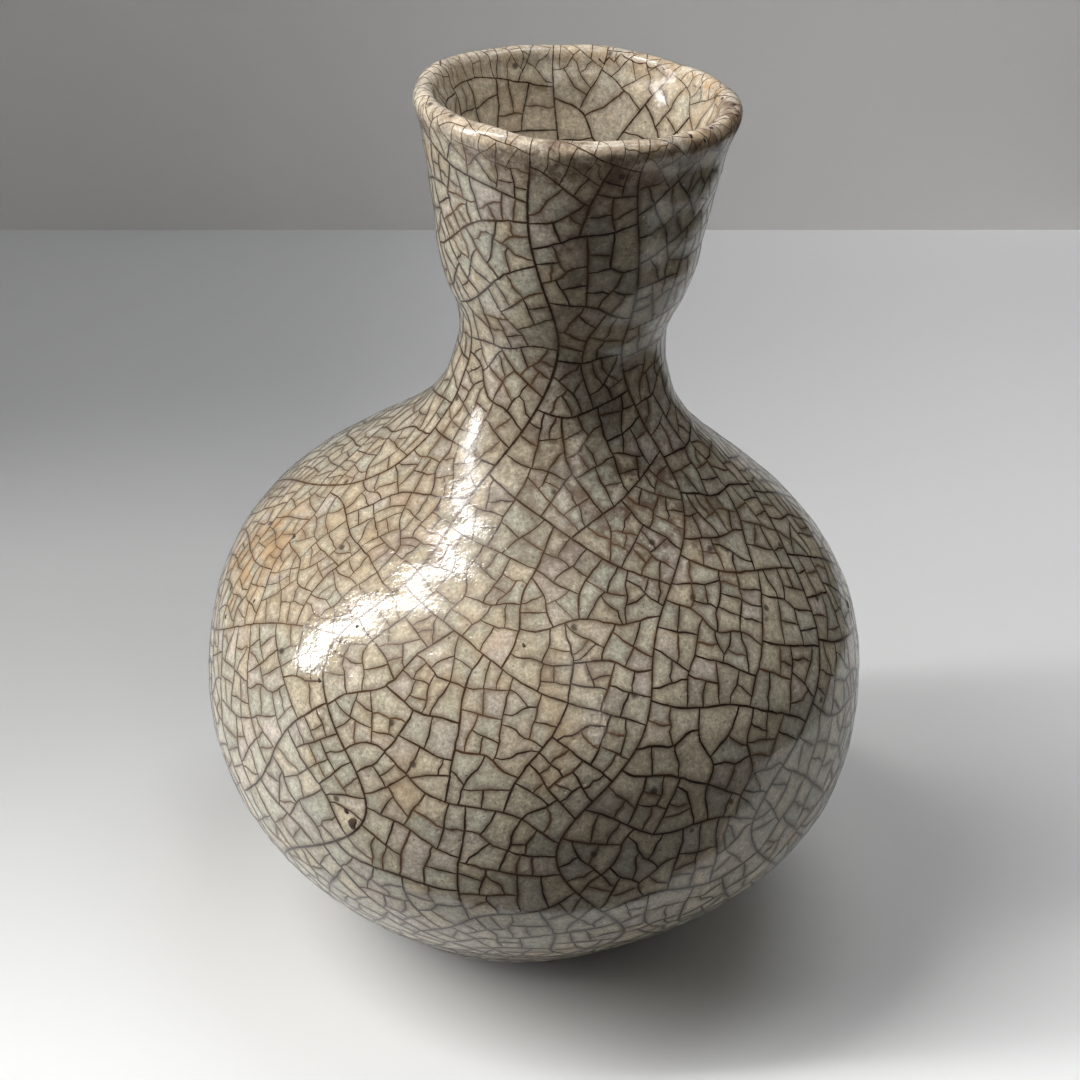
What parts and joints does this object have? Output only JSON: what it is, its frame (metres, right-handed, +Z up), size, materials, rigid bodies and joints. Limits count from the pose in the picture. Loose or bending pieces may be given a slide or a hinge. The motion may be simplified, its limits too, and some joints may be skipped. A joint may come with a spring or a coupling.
{
  "type": "sake bottle",
  "caption": "Small round-bellied stoneware sake bottle with a cup-shaped mouth and rolled lip, crackle-glazed inside and out, standing on a bare foot ring.",
  "frame": {"origin": "middle of the bottle's footprint, on the surface it stands on", "axes": "+Z up; the bottle leans slightly towards +X; -Y is the side the picture shows"},
  "size_m": [0.0764, 0.0764, 0.1025],
  "materials": {
    "bare_foot_clay": "matt unglazed iron-dark stoneware",
    "stoneware_clay": "matt fired stoneware under the glaze",
    "stained_lip_glaze": "glossy cream glaze with iron stains",
    "crackle_glaze": "glossy grey-beige glaze with dark crackle",
    "inner_crackle_glaze": "glossy grey-beige glaze with coarse dark crackle",
    "base_crackle_glaze": "glossy grey-beige glaze with dark crackle"
  },
  "bodies": {
    "root": {"foot_ring": "bare_foot_clay", "bulb_body": "stoneware_clay", "neck": "stoneware_clay", "lip_ring": "stained_lip_glaze", "outer_glaze": "crackle_glaze", "inner_glaze": "inner_crackle_glaze", "base_glaze": "base_crackle_glaze"}
  },
  "joints": []
}
